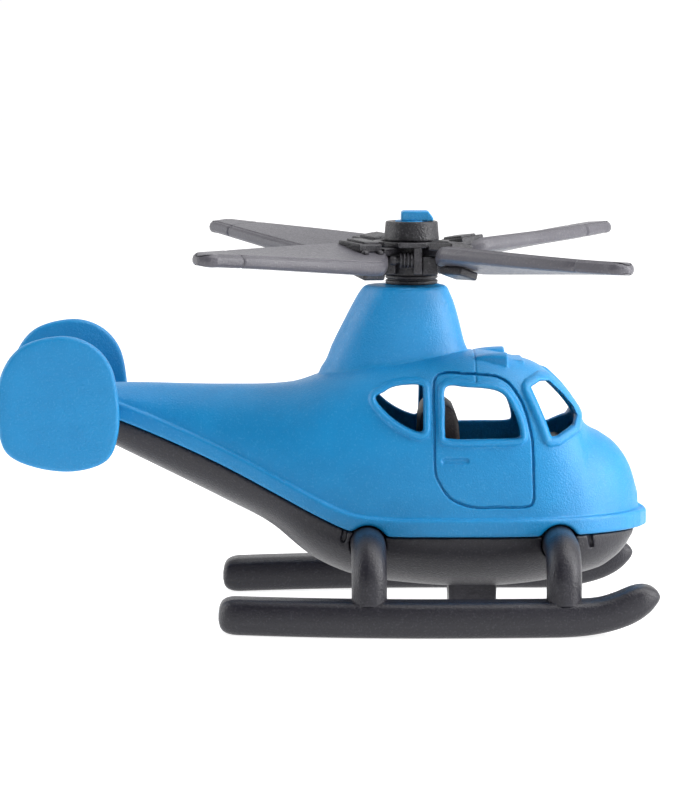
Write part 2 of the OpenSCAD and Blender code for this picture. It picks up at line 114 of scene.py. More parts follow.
def curve(points, at):
    """The smooth curve through given points, by cubics with slopes from the neighbours."""
    x, v = np.array(points, float).T
    at = np.clip(at, x[0], x[-1])
    slope = np.empty_like(v)
    slope[1:-1] = (v[2:] - v[:-2]) / (x[2:] - x[:-2])
    slope[0], slope[-1] = (v[1] - v[0]) / (x[1] - x[0]), (v[-1] - v[-2]) / (x[-1] - x[-2])
    i = np.clip(np.searchsorted(x, at, side="right") - 1, 0, len(x) - 2)
    h = x[i + 1] - x[i]
    t = (at - x[i]) / h
    return (v[i] * (1 + 2 * t) * (1 - t) ** 2 + v[i + 1] * t * t * (3 - 2 * t)
            + h * slope[i] * t * (1 - t) ** 2 - h * slope[i + 1] * t * t * (1 - t))


def smooth_loop(points, steps=6):
    """A closed smooth curve through 2-D points."""
    p = np.array(points, float)
    t = (np.arange(steps) / steps)[None, :, None]
    a, b, c, d = (np.roll(p, k, 0)[:, None, :] for k in (1, 0, -1, -2))
    loop = 0.5 * (2 * b + t * (c - a) + t**2 * (2 * a - 5 * b + 4 * c - d)
                  + t**3 * (3 * b - a - 3 * c + d))
    return loop.reshape(-1, 2)


# ---- Distance fields ---------------------------------------------------------------------------
class Field:
    """A block of voxels. A half block starts at y = 0 and is mirrored when it becomes a mesh."""

    def __init__(self, low, high, step, mirror=True):
        self.step, self.mirror = step, mirror
        self.low = np.array([low[0], 0.0 if mirror else low[1], low[2]])
        n = [int(math.ceil((h - l) / step)) + 1 for l, h in zip(self.low, high)]
        x, y, z = (self.low[k] + step * np.arange(n[k], dtype=np.float32) for k in range(3))
        self.x, self.y, self.z = x[:, None, None], y[None, :, None], z[None, None, :]

    def true_distance(self, g):
        """Turns any function that is zero on a surface into distances that hold near it."""
        gx, gy, gz = np.gradient(g, self.step)
        if self.mirror:
            gy[:, 0, :] = 0
        return g / np.maximum(np.sqrt(gx * gx + gy * gy + gz * gz), 1e-4)

    def side_view(self, outline):
        """Signed distance to an outline in the XZ plane, negative inside, as an X by 1 by Z array."""
        return polygon_distance(outline, self.x[:, 0], self.z[0])[:, None, :]

    def plan_view(self, outline):
        return polygon_distance(outline, self.x[:, 0], self.y[:, :, 0])[:, :, None]

    def mesh(self, name, distance):
        """The zero surface as a smooth-shaded object."""
        clip = 3 * self.step
        d = np.clip(distance, -clip, clip).astype(np.float32)
        low = self.low.copy()
        if self.mirror:
            d = np.concatenate([d[:, :0:-1], d], axis=1)
            low[1] = -self.step * (distance.shape[1] - 1)
        grid = openvdb.FloatGrid(clip)
        grid.copyFromArray(np.ascontiguousarray(d))
        points, tris, quads = grid.convertToPolygons(isovalue=0.0, adaptivity=0.0)
        points = (points * self.step + low) * MM
        return make_object(name, points, [*quads[:, ::-1].tolist(), *tris[:, ::-1].tolist()])


def polygon_distance(outline, u, v):
    """Signed distance from every (u, v) to a closed outline, negative inside."""
    u, v = np.broadcast_arrays(u, v)
    best = np.full(u.shape, 1e9, np.float32)
    inside = np.zeros(u.shape, bool)
    for (ax, ay), (bx, by) in zip(outline, np.roll(outline, -1, 0)):
        ex, ey = bx - ax, by - ay
        t = np.clip(((u - ax) * ex + (v - ay) * ey) / max(ex * ex + ey * ey, 1e-9), 0, 1)
        best = np.minimum(best, (u - ax - t * ex) ** 2 + (v - ay - t * ey) ** 2)
        if ay != by:
            inside ^= ((ay > v) != (by > v)) & (u < ax + (v - ay) / (by - ay) * ex)
    best = np.sqrt(best)
    return np.where(inside, -best, best).astype(np.float32)


def join(a, b, k=0.0):
    """The union of two fields, with a fillet about k wide."""
    if not k:
        return np.minimum(a, b)
    h = np.maximum(k - np.abs(a - b), 0) / k
    return np.minimum(a, b) - h * h * k / 4


def cut(a, b, k=0.0):
    """Field a without what is inside field b, with the edge rounded about k."""
    return -join(-a, b, k)


def common(a, b, k=0.0):
    return -join(-a, -b, k)


# ---- Meshes -----------------------------------------------------------------------------------
def make_object(name, points, faces):
    mesh = bpy.data.meshes.new(name)
    mesh.from_pydata([tuple(p) for p in np.asarray(points, float)], [], faces)
    mesh.validate()
    mesh.update()
    mesh.shade_smooth()
    piece = bpy.data.objects.new(name, mesh)
    bpy.context.collection.objects.link(piece)
    return piece


def loft(name, rings):
    """A closed solid through rings of points in millimetres, with flat ends."""
    rings = np.asarray(rings, float)
    m, n = rings.shape[:2]
    grid = np.arange(m * n).reshape(m, n)
    nxt = np.roll(grid, -1, 1)
    sides = np.stack([grid[:-1], nxt[:-1], nxt[1:], grid[1:]], -1).reshape(-1, 4)
    ends = [grid[0, ::-1].tolist(), grid[-1].tolist()]
    piece = make_object(name, rings.reshape(-1, 3) * MM, sides.tolist() + ends)
    return face_out(piece)


def face_out(piece):
    """Turns every face of a closed mesh outwards."""
    bm = bmesh.new()
    bm.from_mesh(piece.data)
    bmesh.ops.recalc_face_normals(bm, faces=bm.faces)
    bm.to_mesh(piece.data)
    bm.free()
    return piece


def crisp(piece, angle=35):
    """Smooth faces, with a sharp edge wherever two meet at more than the angle."""
    bpy.context.view_layer.objects.active = piece
    piece.select_set(True)
    bpy.ops.object.shade_smooth_by_angle(angle=math.radians(angle))
    piece.select_set(False)
    return piece


def turned(name, profile, centre=(0, 0, 0), axis="Z", steps=96):
    """A solid of revolution from (radius, height) points, closed on itself if it has a bore."""
    a = np.linspace(0, 2 * np.pi, steps, endpoint=False)
    r, h = np.array(profile, float).T
    across = np.stack([np.cos(a), np.sin(a)], -1)
    rings = np.concatenate([r[:, None, None] * across, np.repeat(h[:, None], steps, 1)[..., None]], -1)
    if axis == "Y":
        rings = rings[..., [0, 2, 1]]
    rings = rings + np.array(centre)
    m = len(r)
    grid = np.arange(m * steps).reshape(m, steps)
    closed = min(r) > 0.01
    rows = range(m) if closed else range(m - 1)
    faces = []
    for i in rows:
        for k in range(steps):
            after_i, after_k = (i + 1) % m, (k + 1) % steps
            faces.append([grid[i, k], grid[i, after_k], grid[after_i, after_k], grid[after_i, k]])
    if not closed:
        faces += [grid[0].tolist(), grid[-1].tolist()]
    piece = make_object(name, rings.reshape(-1, 3) * MM, [[int(v) for v in f] for f in faces])
    return face_out(piece)


def rounded_profile(corners, radius, steps=5):
    """A (radius, height) outline whose corners are rounded, for turned()."""
    p = np.array(corners, float)
    out = []
    for i, b in enumerate(p):
        a, c = p[i - 1], p[(i + 1) % len(p)]
        la, lc = np.linalg.norm(a - b), np.linalg.norm(c - b)
        cut_back = min(radius, la * 0.45, lc * 0.45)
        start, end = b + (a - b) / la * cut_back, b + (c - b) / lc * cut_back
        t = np.linspace(0, 1, steps)[:, None]
        out.extend((1 - t) ** 2 * start + 2 * t * (1 - t) * b + t**2 * end)
    return out


def slab(name, outline, low, high, bevel, place=None, segments=3, axis="Z"):
    """A plate with the given outline between two heights, with rounded edges."""
    p = np.array(outline, float)
    flat = [np.c_[p, np.full(len(p), h)] for h in (low, high)]
    if axis == "Y":
        flat = [f[:, [0, 2, 1]] for f in flat]
    if place is not None:
        flat = [place(f) for f in flat]
    piece = loft(name, flat)
    add_bevel(piece, bevel, segments)
    return piece


def add_bevel(piece, width, segments=3, angle=30):
    mod = piece.modifiers.new("Rounded", "BEVEL")
    mod.width = width * MM
    mod.segments = segments
    mod.limit_method = "ANGLE"
    mod.angle_limit = math.radians(angle)
    mod.harden_normals = False
    crisp(piece, 60)


def merge(name, parts):
    """Joins finished objects into one, with their modifiers applied."""
    for part in parts:
        bpy.context.view_layer.objects.active = part
        part.select_set(True)
        for mod in list(part.modifiers):
            bpy.ops.object.modifier_apply(modifier=mod.name)
        part.select_set(False)
    for part in parts:
        part.select_set(True)
    bpy.context.view_layer.objects.active = parts[0]
    if len(parts) > 1:
        bpy.ops.object.join()
    whole = parts[0]
    whole.select_set(False)
    whole.name = name
    return whole


# ---- Materials ----------------------------------------------------------------------------------
class Nodes:
    """Short names for building a node tree."""

    def __init__(self, name):
        self.material = bpy.data.materials.new(name)
        self.material.use_nodes = True
        self.tree = self.material.node_tree
        self.shader = self.tree.nodes["Principled BSDF"]

    def add(self, kind, inputs=None, **settings):
        node = self.tree.nodes.new(kind)
        for key, value in settings.items():
            setattr(node, key, value)
        for key, value in (inputs or {}).items():
            self.set(node, key, value)
        return node

    def set(self, node, key, value):
        if isinstance(value, bpy.types.NodeSocket):
            self.tree.links.new(value, node.inputs[key])
        else:
            node.inputs[key].default_value = value

    def coords(self):
        return self.add("ShaderNodeTexCoord").outputs["Object"]

    def noise(self, scale, detail=2.0, rough=0.5):
        node = self.add("ShaderNodeTexNoise", {"Vector": self.coords(), "Scale": scale, "Detail": detail,
                                               "Roughness": rough})
        return node.outputs["Fac"]

    def ramp(self, value, low, high, out_low=0.0, out_high=1.0):
        node = self.add("ShaderNodeMapRange", {"Value": value, "From Min": low, "From Max": high,
                                               "To Min": out_low, "To Max": out_high})
        return node.outputs["Result"]

    def maths(self, operation, a, b):
        node = self.add("ShaderNodeMath", {0: a, 1: b}, operation=operation)
        return node.outputs[0]

    def mix(self, factor, a, b):
        node = self.add("ShaderNodeMix", data_type="RGBA")
        for socket, value in ((node.inputs[0], factor), (node.inputs[6], a), (node.inputs[7], b)):
            if isinstance(value, bpy.types.NodeSocket):
                self.tree.links.new(value, socket)
            else:
                socket.default_value = value
        return node.outputs[2]

    def bump(self, height, strength, distance, normal=None):
        inputs = {"Height": height, "Strength": strength, "Distance": distance}
        if normal is not None:
            inputs["Normal"] = normal
        return self.add("ShaderNodeBump", inputs).outputs["Normal"]


def moulded_plastic(name, colour, fleck, deep, rough, fleck_share=0.1, grain=1.0, edge_highlight_share=0.25, coat=0.0):
    """Matt moulded plastic with a stippled skin, light flecks, soft mottling and a painted highlight along
    its sharp edges.
    """
    n = Nodes(name)
    mottle = n.ramp(n.noise(60, 4.0, 0.6), 0.35, 0.65)
    base = n.mix(mottle, (*deep, 1), (*colour, 1))
    spots = n.noise(1300, 1.0, 0.5)
    base = n.mix(n.ramp(spots, 0.58, 0.7, 0.0, fleck_share * 1.6), base, (*fleck, 1))
    specks = n.add("ShaderNodeTexVoronoi", {"Vector": n.coords(), "Scale": 420}).outputs["Distance"]
    rare = n.ramp(n.noise(260, 0.0), 0.6, 0.66)
    speck = n.maths("MULTIPLY", n.ramp(specks, 0.09, 0.05), rare)
    base = n.mix(n.maths("MULTIPLY", speck, 0.22), base, (*fleck, 1))
    # Painted highlight: sharp convex edges are lightened towards the fleck colour, in patches.
    edge = n.add("ShaderNodeNewGeometry").outputs["Pointiness"]
    edge_highlight = n.maths("MULTIPLY", n.ramp(edge, 0.52, 0.6), n.ramp(n.noise(300, 3.0), 0.3, 0.7, 0.3, 1.0))
    base = n.mix(n.maths("MULTIPLY", edge_highlight, edge_highlight_share), base, (*fleck, 1))
    n.set(n.shader, "Base Color", base)
    n.set(n.shader, "Roughness", n.ramp(n.noise(900, 3.0), 0.3, 0.7, rough - 0.06, rough + 0.07))
    n.shader.inputs["Specular IOR Level"].default_value = 0.45
    n.shader.inputs["Coat Weight"].default_value = coat
    stipple = n.noise(1500, 2.0, 0.6)
    wave = n.noise(120, 2.0)
    normal = n.bump(stipple, 0.5 * grain, 0.0005)
    n.set(n.shader, "Normal", n.bump(wave, 0.06, 0.0006, normal))
    return n.material


BLUE = moulded_plastic("blue_plastic", (0.003, 0.232, 0.53), (0.11, 0.44, 0.74), (0.002, 0.21, 0.49), 0.37)
DARK = moulded_plastic("dark_plastic", (0.0105, 0.0098, 0.0165), (0.1, 0.098, 0.118),
                       (0.0085, 0.008, 0.0135), 0.35,
                       fleck_share=0.1)
GREY = moulded_plastic("grey_plastic", (0.088, 0.085, 0.1), (0.27, 0.26, 0.28), (0.074, 0.071, 0.085), 0.38,
                       fleck_share=0.1, grain=0.7)
HUB_GREY = moulded_plastic("hub_grey_plastic", (0.016, 0.0155, 0.0195), (0.15, 0.145, 0.16),
                           (0.012, 0.0115, 0.015), 0.36, fleck_share=0.16, grain=1.3)
SEAT_BROWN = moulded_plastic("seat_plastic", (0.045, 0.035, 0.035), (0.25, 0.21, 0.2), (0.035, 0.028, 0.03),
                             0.5)


def finish_piece(piece, body, material, slot, *nodes):
    piece.data.materials.clear()
    piece.data.materials.append(material)
    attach(piece, body)
    if nodes:
        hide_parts(*nodes)
    return piece


# ---- Cabin shell ----------------------------------------------------------------------------------
SHELL_STEP = 0.4
END_GROWTH = 0.5
TAIL_ROUNDING = 3


def body_core(f):
    """The solid upper body without skirt, mast or openings, as distances."""
    x = f.x[:, 0, 0]
    belt = (BELT_Z + curve(SKIRT_RISE, x))[:, None, None]
    width = np.maximum(CABIN_HALF * curve(BELT_W, x), 0.4)[:, None, None]
    height = np.maximum(curve(ROOF, x)[:, None, None] - belt, 0.6)
    n = curve(SQUARENESS, x)[:, None, None]
    t = np.maximum((f.z - belt) / height, 0)
    across = f.y / (width * (1 - LEAN * np.minimum(t, 1.2)))
    g = (across**n + t**n) ** (1 / n) - 1
    # Ahead of the nose the section has no width, so distance grows with X instead.
    g = g + np.maximum(f.x - NOSE_X, 0) * END_GROWTH
    return common(f.true_distance(g.astype(np.float32)), TAIL_X - f.x, TAIL_ROUNDING)


MAST_TOP_Z = 129
MAST_FOOT_Z = 88
MAST_ROUNDING = 1.6
MAST_FILLET = 0.9
MAST_LEFT = [(88, -5), (96, -2.4), (100, 0), (106, 2.4), (116, 7.4), (125, 12.2), (129, 15)]
MAST_RIGHT = [(88, 60), (96, 58), (103, 55.6), (107, 54), (115, 52), (122, 50), (127, 47.9), (129, 47)]
MAST_HALF_Y = [(88, 17.2), (98, 16.8), (108, 16.2), (118, 15.8), (129, 15.4)]


def mast(f):
    z = f.z[0, 0]
    left, right = curve(MAST_LEFT, z), curve(MAST_RIGHT, z)
    middle, half = (left + right) / 2, (right - left) / 2
    side = curve(MAST_HALF_Y, z)
    g = np.sqrt(((f.x - middle) / half) ** 2 + (f.y / side) ** 2) - 1
    d = f.true_distance(np.asarray(g, np.float32))
    d = common(d, f.z - MAST_TOP_Z, MAST_ROUNDING)
    return common(d, MAST_FOOT_Z - f.z)


# The skirt reaches further forward than the nose above it.
NOSE_PUSH = 3.0
PUSH_FROM_X = 90
SKIRT_ROUNDING = 1.6


def skirt(f):
    """The band round the lower edge, standing a little proud of the sides."""
    xs = np.linspace(TAIL_X, NOSE_X, 90)
    half = CABIN_HALF * curve(BELT_W, xs) + SKIRT_STEP
    pushed = xs + NOSE_PUSH * np.maximum(0, (xs - PUSH_FROM_X) / (NOSE_X - PUSH_FROM_X)) ** 2
    outline = np.r_[np.c_[pushed, half], np.c_[pushed, -half][::-1]]
    side = f.plan_view(outline)
    low, high = skirt_band(f)
    slope = np.gradient(curve(SKIRT_RISE, f.x[:, 0, 0]), f.step)[:, None, None]
    band = (np.abs(f.z - (low + high) / 2) - (high - low) / 2) / np.sqrt(1 + slope**2)
    return common(side, band.astype(np.float32), SKIRT_ROUNDING)


def skirt_band(f):
    rise = curve(SKIRT_RISE, f.x[:, 0, 0])[:, None, None]
    return SKIRT_Z + rise, BELT_Z + rise - 0.2


def tube_arch(f, x, grow):
    return np.sqrt((f.x - x) ** 2 + (f.z - TUBE_Z + 0.4) ** 2) - TUBE_R - grow


def window_fields(f):
    """Distance to the edge of each opening, negative inside it, with its rim's width and height."""
    door = f.side_view(smooth_loop(DOOR_WINDOW))
    rear = f.side_view(smooth_loop(REAR_WINDOW))
    front = common(f.side_view(np.array(WINDSCREEN)), PILLAR_HALF - f.y, 2)
    return [(door, 2.8, 1.4), (rear, 2.8, 1.4), (front, 3.6, 1.4)]


# Each roof intake: its back and front X, its middle Y, its half-width and its height.
SCOOPS = [(57, 70.4, 13.5, 6.2, 3.2), (71, 77, 9.5, 3.6, 1.6)]
WINDOW_ROUNDING = 1.1
LIP_R = 11.2
LIP_H = 0.4
ARCH_GAP = 1.0
ARCH_ROUNDING = 1.6
GROOVE_HALF_W = 0.42
GROOVE_DEPTH = 1.4
PARTING_X = 57.6
PARTING_LOW_Z, PARTING_HIGH_Z = 93, 105
HANDLE_X, HANDLE_Z = 49.2, 63.6
HANDLE_HALF_L = 4.2


def scoop(f, x0, x1, y0, half_y, high):
    """A low intake on the roof that rises towards the front and ends in a steep face."""
    roof = curve(ROOF, f.x[:, 0, 0])[:, None, None]
    t = np.clip((f.x - x0) / (x1 - x0), 0, 1)
    top = f.z - (roof - 1.2 + high * t**0.8) + 0.035 * (f.y - y0) ** 2
    return common(common(top, np.abs(f.y - y0) - half_y * (0.55 + 0.45 * t), 0.9),
                  np.maximum(x0 - f.x, f.x - x1), 0.7)


def build_shell():
    f = Field((TAIL_X - 3, 0, 32), (128, 44.5, 131), SHELL_STEP)
    core = join(body_core(f), mast(f), MAST_FILLET)
    shell = join(core, skirt(f), 0.35)
    for edge, width, high in window_fields(f):
        half = width / 2
        bead = np.sqrt((edge - half) ** 2 + (core * half / high) ** 2) - half
        shell = join(shell, bead, 0.25)
    for place in SCOOPS:
        shell = join(shell, scoop(f, *place), 0.4)
    # A shallow lip under the rotor's collar.
    lip = np.sqrt((f.x - ROTOR_X) ** 2 + f.y**2) - LIP_R
    lip = common(common(lip, f.z - MAST_TOP_Z - LIP_H, 0.3), MAST_TOP_Z - 2 - f.z)
    shell = join(shell, lip, 0.3)
    shell = cut(shell, core + WALL)
    low, _ = skirt_band(f)
    shell = common(shell, low - f.z, 0.8)
    for edge, _, _ in window_fields(f):
        shell = cut(shell, edge, WINDOW_ROUNDING)
    for x in (REAR_TUBE_X, FRONT_TUBE_X):
        shell = cut(shell, tube_arch(f, x, ARCH_GAP), ARCH_ROUNDING)
    door_line = np.abs(f.side_view(smooth_loop(DOOR))) - GROOVE_HALF_W
    shell = cut(shell, np.maximum(door_line, -(core + GROOVE_DEPTH)), 0.12)
    # The mould halves meet along a faint line over the roof, just ahead of the mast.
    parting = np.maximum(np.abs(f.x - PARTING_X) - 0.3, -(core + 0.35))
    parting = np.maximum(np.maximum(parting, PARTING_LOW_Z - f.z), f.z - PARTING_HIGH_Z)
    shell = cut(shell, parting, 0.2)
    along = np.maximum(np.abs(f.x - HANDLE_X) - HANDLE_HALF_L, 0)
    handle = np.sqrt(along**2 + (f.z - HANDLE_Z) ** 2) - 0.9
    shell = cut(shell, np.maximum(handle, -(core + 0.7)), 0.6)
    piece = f.mesh("cabin_shell", shell)
    return finish_piece(piece, "airframe", BLUE, "blue_plastic", "body_shell")


# ---- Hull -------------------------------------------------------------------------------------------
HULL_STEP = 0.55
HULL_BACK_X, HULL_FRONT_X = -97, 120
HULL_INSET = 1.6
HULL_GAP = 0.2
HULL_WALL = 2.4
HULL_ROUNDNESS = 2.3
# A V-shaped notch under the skirt behind the rear tube, and one ahead of the front tube.
NOTCHES = [(REAR_TUBE_X - 8.6, 1), (FRONT_TUBE_X + 12, -1)]
NOTCH_DROP = 5.2
NOTCH_HALF_W = 0.9
NOTCH_DEPTH = 1.4


def build_hull():
    f = Field((-99, 0, 8), (122, 41.5, 84), HULL_STEP)
    x = f.x[:, 0, 0]
    top = (SKIRT_Z + curve(SKIRT_RISE, x))[:, None, None]
    width = np.maximum(CABIN_HALF * curve(BELT_W, x) + SKIRT_STEP - HULL_INSET, 0.3)[:, None, None]
    depth = np.maximum(top - curve(KEEL, x)[:, None, None], 0.5)
    t = np.maximum((top - f.z) / depth, 0)
    g = ((f.y / width) ** HULL_ROUNDNESS + t**HULL_ROUNDNESS) ** (1 / HULL_ROUNDNESS) - 1
    past_ends = np.maximum(f.x - HULL_FRONT_X, 0) + np.maximum(HULL_BACK_X - f.x, 0)
    d = f.true_distance((g + past_ends * END_GROWTH).astype(np.float32))
    outer = common(d, f.z - top + HULL_GAP)
    hull = cut(outer, d + HULL_WALL)
    for tube_x in (REAR_TUBE_X, FRONT_TUBE_X):
        hull = cut(hull, tube_arch(f, tube_x, 0.3), 0.4)
    for notch_x, side in NOTCHES:
        below = (top - NOTCH_DROP - f.z) * 0.28
        notch = np.maximum(np.abs(f.x - notch_x + side * (top - f.z) * 0.2) - NOTCH_HALF_W, below)
        hull = cut(hull, np.maximum(notch, -(d + NOTCH_DEPTH)), 0.4)
    piece = f.mesh("belly_tub", hull)
    return finish_piece(piece, "airframe", DARK, "dark_plastic", "belly_hull")


# ---- Landing gear ---------------------------------------------------------------------------------
BEND_R = 12
TUBE_FOOT_Z = 12.5
SKID_W = 17
SKID_CREASE = 0.3
# The skids bow inwards away from their middle, more at the heel than at the tip.
SKID_MIDDLE_X = 42
SKID_REACH = 84
REAR_BOW, FRONT_BOW = 11, 4
SKID_SOLE = [(-41.6, 5), (-41, 2.6), (-39, 0.8), (-36, 0.1), (-32, 0), (86, 0), (97, 0.5),
             (106, 1.9), (113, 3.9), (118, 6.2), (122, 9), (124.6, 11.8), (125.7, 13.5), (126, 14.6)]
SKID_TOP = [(-41.6, 8), (-41.2, 10.4), (-39.8, 12.6), (-37, 13.8), (-33, 14), (96, 14), (103, 14.5),
            (109, 16.2), (115, 18.6), (119, 19.4), (122.2, 18.9), (124.5, 17.5), (125.7, 16),
            (126, 15.1)]
SKID_HALF = [(-41.6, 0.52), (-41, 0.72), (-39.6, 0.88), (-37, 0.98), (-34, 1), (112, 1),
             (118, 0.93), (122, 0.76), (125, 0.5), (126, 0.3)]
# Half of a skid's section, from the sole up, as shares of half-width and height.
SKID_SECTION = [(0, 0), (0.44, 0), (0.74, 0.07), (0.93, 0.22), (1, 0.46), (0.975, 0.7), (0.87, 0.88),
                (0.6, 0.98), (0, 1)]


def build_cross_tube(name, x):
    run = LEG_Y - BEND_R
    path = [(-LEG_Y, z, 0) for z in np.linspace(TUBE_FOOT_Z, TUBE_Z - BEND_R, 9)]
    path += [(-run - BEND_R * math.cos(a), TUBE_Z - BEND_R + BEND_R * math.sin(a), a)
             for a in np.linspace(0, math.pi / 2, 20)[1:]]
    path += [(y, TUBE_Z, math.pi / 2) for y in np.linspace(-run, 0, 12)[1:]]
    path += [(-y, z, math.pi - a) for y, z, a in path[-2::-1]]
    around = np.linspace(0, 2 * np.pi, 64, endpoint=False)
    rings = []
    side = TUBE_R * np.cos(around)
    for y, z, lean in path:
        rings.append(np.c_[x + TUBE_R * np.sin(around), y + side * math.cos(lean),
                           z - side * math.sin(lean)])
    piece = crisp(loft(name, rings), 50)
    return finish_piece(piece, "airframe", DARK, "dark_plastic", f"{name.split('_')[0]}_cross_tube")


def skid_outline():
    """SKID_SECTION as a smooth line."""
    t = np.linspace(0, len(SKID_SECTION) - 1, 48)
    y, z = (curve([(i, corner[k]) for i, corner in enumerate(SKID_SECTION)], t) for k in (0, 1))
    # The mould's parting line runs along the side as a fine crease.
    y -= 0.02 * np.exp(-(((z - SKID_CREASE) / 0.02) ** 2))
    return y, np.clip(z, 0, 1)


def build_skid(name, side):
    share_y, share_z = skid_outline()
    low_x, high_x = SKID_LOW[0], SKID_HIGH[0]
    # Sections stand closer together at the heel and the tip, which turn fastest.
    heel, tip = 9, 8
    xs = np.r_[low_x + heel * (1 - np.cos(np.linspace(0, np.pi / 2, 20))), np.linspace(-30, 84, 26),
               np.linspace(86, high_x - tip, 40),
               high_x - tip + tip * np.sin(np.linspace(0.05, np.pi / 2, 24))]
    rings = []
    for x in xs:
        low, high = curve(SKID_SOLE, x), curve(SKID_TOP, x)
        half = SKID_W / 2 * curve(SKID_HALF, x)
        bow = REAR_BOW if x < SKID_MIDDLE_X else FRONT_BOW
        middle = side * (LEG_Y - bow * ((x - SKID_MIDDLE_X) / SKID_REACH) ** 2)
        y = np.r_[half * share_y, -half * share_y[-2:0:-1]]
        z = np.r_[share_z, share_z[-2:0:-1]]
        rings.append(np.c_[np.full(len(y), x), middle + y, low + (high - low) * z])
    piece = crisp(loft(f"{name}_runner", rings), 55)
    return finish_piece(piece, "airframe", DARK, "dark_plastic", name)


# ---- Tail ------------------------------------------------------------------------------------------
FIN = [(-102, 112.4), (-90.4, 109.4), (-82.8, 101), (-79.9, 88), (-80, 75), (-84.4, 64.6), (-97, 60.4),
       (-112, 62), (-123, 67.8), (-126, 80), (-125, 96.6), (-117, 108.2)]
TAILPLANE = [(-117, 79), (-115, 82.4), (-100, 84.4), (-86, 84), (-81.4, 81), (-83, 78.6), (-100, 77)]
FIN_HALF_T = (FIN_HIGH[1] - FIN_LOW[1]) / 2
FIN_Y = (FIN_HIGH[1] + FIN_LOW[1]) / 2
FIN_EDGE_R = 1.7
BAR_STEP = 0.5


def build_fin(name, side):
    """A flat fin with a rounded outline and rounded edges."""
    loop = smooth_loop(FIN, 10)
    centre = loop.mean(0)
    inward = centre - loop
    inward /= np.linalg.norm(inward, axis=1)[:, None]
    steps = np.linspace(0, np.pi / 2, 6)
    edge = [(loop + inward * FIN_EDGE_R * (1 - np.sin(a)), FIN_HALF_T - FIN_EDGE_R * (1 - np.cos(a)))
            for a in steps[::-1]]
    rim = edge[-1][0]
    # Each face is closed by smaller and smaller copies of the rim.
    edge += [(centre + (rim - centre) * k, FIN_HALF_T) for k in (0.85, 0.6, 0.3, 0.02)]
    rings = [(r, -y) for r, y in edge[::-1]] + edge
    piece = loft(name, [np.c_[r[:, 0], np.full(len(r), side * FIN_Y + y), r[:, 1]] for r, y in rings])
    crisp(piece, 50)
    return finish_piece(piece, "airframe", BLUE, "blue_plastic", f"{name}_fin")


def build_tailplane():
    """The bar between the fins, as two halves that meet the boom's sides."""
    f = Field((-119, 0, 73), (-72, 40, 88), BAR_STEP)
    x = f.x[:, 0, 0]
    plate = common(f.side_view(smooth_loop(TAILPLANE)), f.y - (FIN_Y - FIN_HALF_T))
    # The boom's own width is left out of the bar.
    boom = f.y - (CABIN_HALF * curve(BELT_W, x) + SKIRT_STEP + 0.1)[:, None, None]
    plate = cut(plate, np.maximum(boom, TAIL_X - f.x))
    piece = f.mesh("tailplane_bar", plate)
    return finish_piece(piece, "airframe", BLUE, "blue_plastic", "tailplane")


# ---- Cabin inside -----------------------------------------------------------------------------------
FLOOR_TOP_Z = 42.4
FLOOR_T = 2
SEAT = [(35, FLOOR_TOP_Z), (35.6, 60), (36.2, 77), (37.2, 81.6), (40, 83.6), (43.4, 84), (47, 83.4),
        (49.8, 81), (51, 77.6), (52, 68), (53, 60.4), (55.4, 58.2), (61, 57.2), (67, 56.2), (68.6, 55),
        (69.2, 51), (70, FLOOR_TOP_Z)]
SEAT_HALF_W = 20
PANEL = [(84, FLOOR_TOP_Z), (81.6, 56), (81, 62), (81.9, 66.6), (84, 68), (91, 68.8), (93.4, 68),
         (96, 65), (99.6, 58), (100, FLOOR_TOP_Z)]
PANEL_HALF_W = 22


def side_prism(name, outline, half_width, bevel):
    return slab(name, outline, -half_width, half_width, bevel, axis="Y")


def build_cabin():
    seat = side_prism("seat", SEAT, SEAT_HALF_W, 2.4)
    finish_piece(seat, "airframe", SEAT_BROWN, "dark_plastic", "pilot_seat")
    panel = side_prism("panel", PANEL, PANEL_HALF_W, 1.6)
    finish_piece(panel, "airframe", DARK, "dark_plastic", "instrument_panel")
    xs = np.linspace(2, 108, 40)
    half = CABIN_HALF * curve(BELT_W, xs) - WALL - 0.4
    plan = np.r_[np.c_[xs, half], np.c_[xs, -half][::-1]]
    floor = slab("floor_plate", plan, FLOOR_TOP_Z - FLOOR_T, FLOOR_TOP_Z, 0.4)
    finish_piece(floor, "airframe", DARK, "dark_plastic", "cabin_floor")


def build_foot():
    """A square plug that widens a little as it rises into the hull."""
    (x0, y0, z0), (x1, y1, z1) = box_mm("belly_foot")
    inset = 2
    x0, y0, x1, y1 = x0 + inset, y0 + inset, x1 - inset, y1 - inset
    rings = []
    for z, grow in ((z0, -0.9), (z0 + 0.9, 0), (z0 + 6, 0.15), (z1 - 3, 0.35), (z1 - 2, 0.4)):
        rings.append([(x0 - grow, y0 - grow, z), (x1 + grow, y0 - grow, z),
                      (x1 + grow, y1 + grow, z), (x0 - grow, y1 + grow, z)])
    piece = loft("foot", rings)
    add_bevel(piece, 1.2)
    finish_piece(piece, "airframe", DARK, "dark_plastic", "belly_foot")


# ---- Rotor --------------------------------------------------------------------------------------------
HUB_Z = 133
CAP_Z = 146.2
CAP_TOP_Z = 154
BORE_R = 6.5
HUB_R = 9.4
BLADE_Z = 139.8
BLADE_ANGLE = 43.7
BLADE_RISE = (7.3, 7.8, 4, 0.7)
BLADE_T = 6.2
# Width of a blade along its length: a narrow nose by the hub, a shoulder, then a long taper.
CHORD = [(17.5, 9), (20, 14.6), (24, 21.8), (29, 26.8), (45, 26.6), (68, 23.6), (88, 19), (107.3, 13)]
ROOT_PITCH, TIP_PITCH = 17.5, 4
ROTOR_R = 113.8
ROOT_R = 17.5
TIP_R = 6.5
# Shares of the thickness lost towards the tip, and again round the tip's end.
TAPER, END_TAPER = 0.2, 0.4
LEAST_HALF = 2.8
# A fine groove sets off the cap at each tip, slanted back towards the trailing edge.
TIP_LINE_R = ROTOR_R - 18.5
TIP_LINE_SLANT = 0.24
TIP_LINE_DEPTH = 0.07


